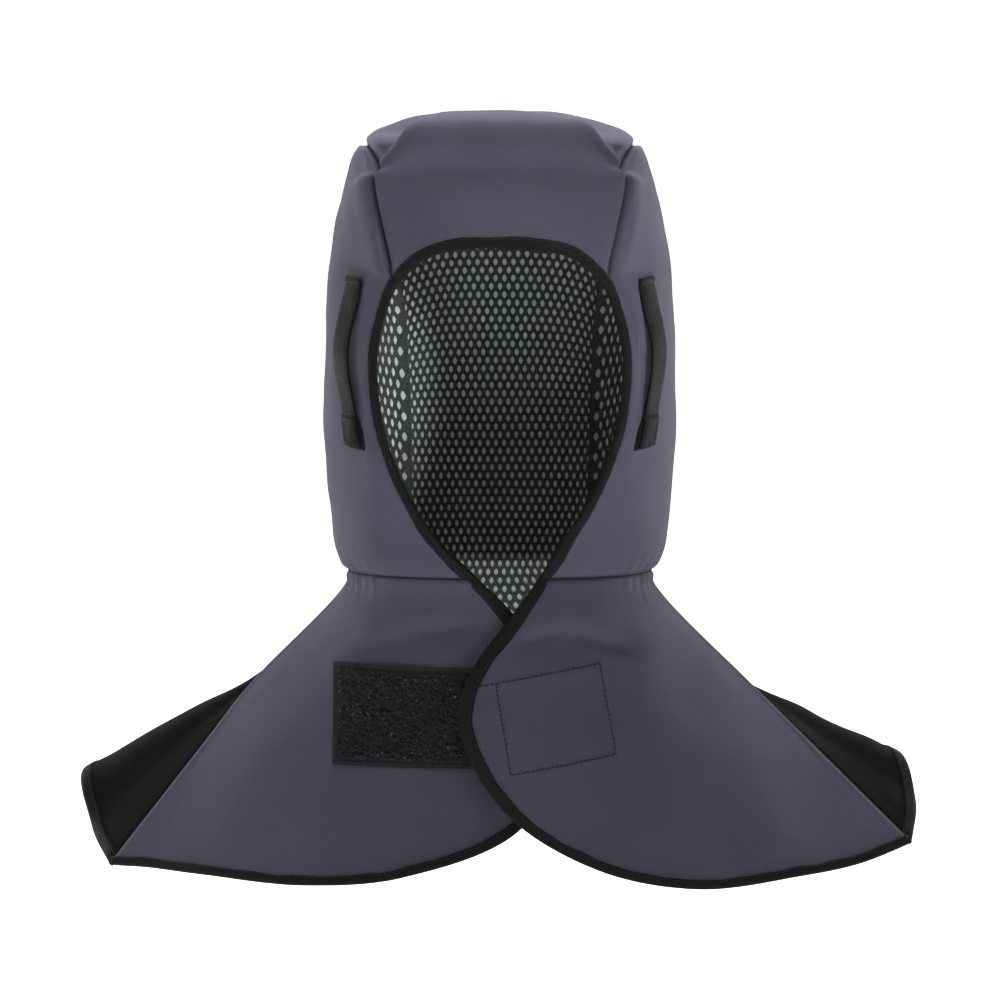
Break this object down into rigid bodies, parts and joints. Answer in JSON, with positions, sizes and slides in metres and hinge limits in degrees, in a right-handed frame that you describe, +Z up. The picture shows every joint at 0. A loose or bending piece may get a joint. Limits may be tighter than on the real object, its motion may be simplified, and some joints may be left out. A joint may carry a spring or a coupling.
{
  "type": "welding head cover",
  "caption": "Cloth welding hood with an egg-shaped face opening, net lining, side webbing loops and a shoulder cape whose front flaps close with hook and loop.",
  "frame": {"origin": "where the crown of the wearer's head meets the lining", "axes": "+Z up, the face opening towards -Y, +X to the right of someone who faces the opening"},
  "size_m": [0.5493, 0.2907, 0.4876],
  "materials": {
    "grey_cloth": "matte blue-grey flame-retardant cotton",
    "black_cloth": "matte black cotton",
    "binding_tape": "black ribbed binding tape",
    "net_lining": "black net over pale backing cloth",
    "webbing": "black flat webbing",
    "hook_and_loop": "black hook-and-loop tape"
  },
  "bodies": {
    "root": {"crown_panel": "grey_cloth", "side_panel_left": "grey_cloth", "side_panel_right": "grey_cloth", "front_flap_left": "grey_cloth", "front_flap_right": "grey_cloth", "back_cape": "black_cloth", "face_binding": "binding_tape", "flap_binding_left": "binding_tape", "flap_binding_right": "binding_tape", "back_binding": "binding_tape", "crown_lining": "net_lining", "side_lining_left": "net_lining", "side_lining_right": "net_lining", "side_strap_left": "webbing", "side_strap_right": "webbing", "loop_patch": "hook_and_loop", "hook_patch": "hook_and_loop"}
  },
  "joints": []
}
